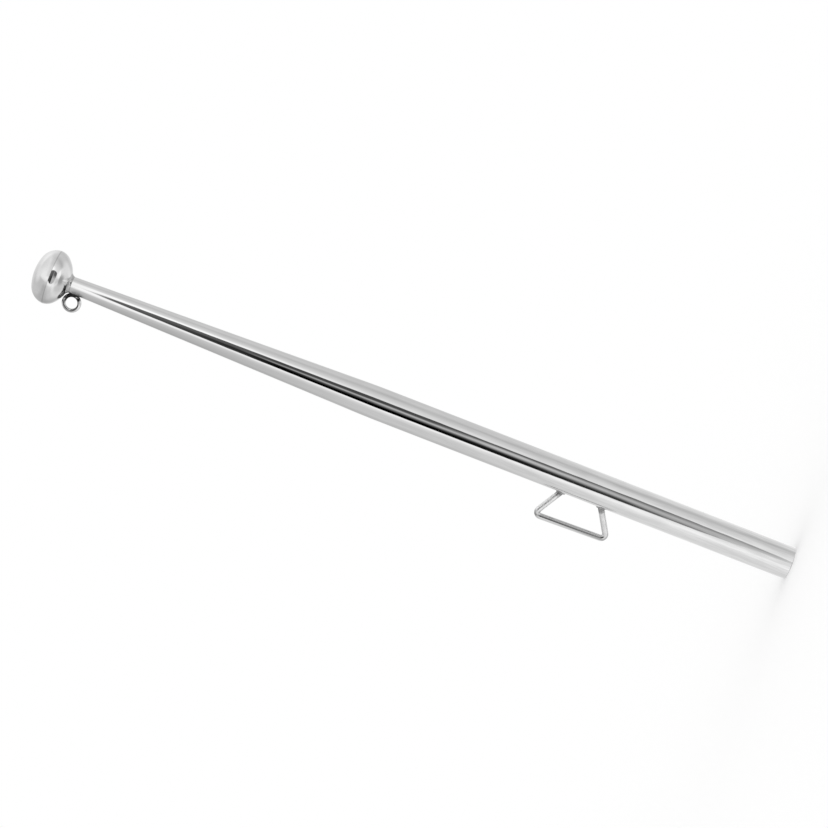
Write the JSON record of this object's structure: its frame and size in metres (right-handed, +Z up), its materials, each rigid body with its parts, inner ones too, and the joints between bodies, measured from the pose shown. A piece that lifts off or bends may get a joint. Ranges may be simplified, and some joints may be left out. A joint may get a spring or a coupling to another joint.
{
  "type": "flagpole",
  "caption": "Polished tapered tube flagstaff with a flattened hollow ball finial, a small welded halyard eye below it and a bent rod cleat lower down; the open butt stands in a socket.",
  "frame": {"origin": "centre of the tube's open butt face", "axes": "+Z up the staff from the butt to the finial; the eye and the cleat both hang on the -Y side, in the plane X = 0"},
  "size_m": [0.042, 0.0596, 0.61],
  "materials": {
    "polished_steel": "mirror-polished stainless steel",
    "weld_steel": "wire-brushed and buffed stainless weld metal"
  },
  "bodies": {
    "root": {"pole_tube": "polished_steel", "finial_crown": "polished_steel", "finial_skirt": "polished_steel", "halyard_eye": "polished_steel", "cleat_bar": "polished_steel", "finial_neck_weld": "weld_steel", "halyard_eye_weld": "weld_steel", "cleat_upper_weld": "weld_steel", "cleat_lower_weld": "weld_steel"}
  },
  "joints": []
}
